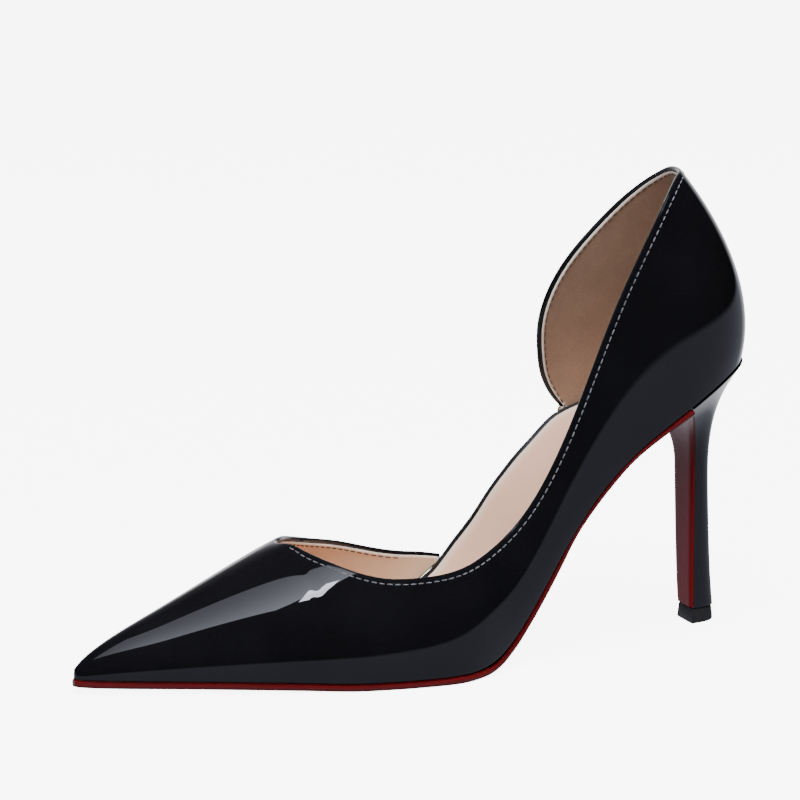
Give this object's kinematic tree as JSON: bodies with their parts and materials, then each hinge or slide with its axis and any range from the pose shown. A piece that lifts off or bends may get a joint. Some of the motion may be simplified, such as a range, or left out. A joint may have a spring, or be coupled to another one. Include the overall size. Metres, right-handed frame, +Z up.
{
  "type": "dorsay pump",
  "caption": "Left high-heeled pump in black patent leather with a pointed toe, a closed outer side, an open arch side and a red sole.",
  "frame": {"origin": "centre of the shoe's box on the floor that its tread and its heel tip stand on", "axes": "toe towards -X, heel towards +X, outer side towards -Y, arch side towards +Y, +Z up"},
  "size_m": [0.2332, 0.0752, 0.1539],
  "materials": {
    "patent_leather": "black patent, mirror gloss",
    "red_sole_leather": "red lacquered sole leather",
    "wrapped_board": "black leather wrapped over board",
    "sock_leather": "smooth pinkish beige lining leather",
    "heel_cover": "glossy black",
    "heel_rubber": "matt black"
  },
  "bodies": {
    "root": {"upper": "patent_leather", "outsole": "red_sole_leather", "insole": "wrapped_board", "sock_lining": "sock_leather", "heel": "heel_cover", "breast_flap": "red_sole_leather", "top_piece": "heel_rubber"}
  },
  "joints": []
}
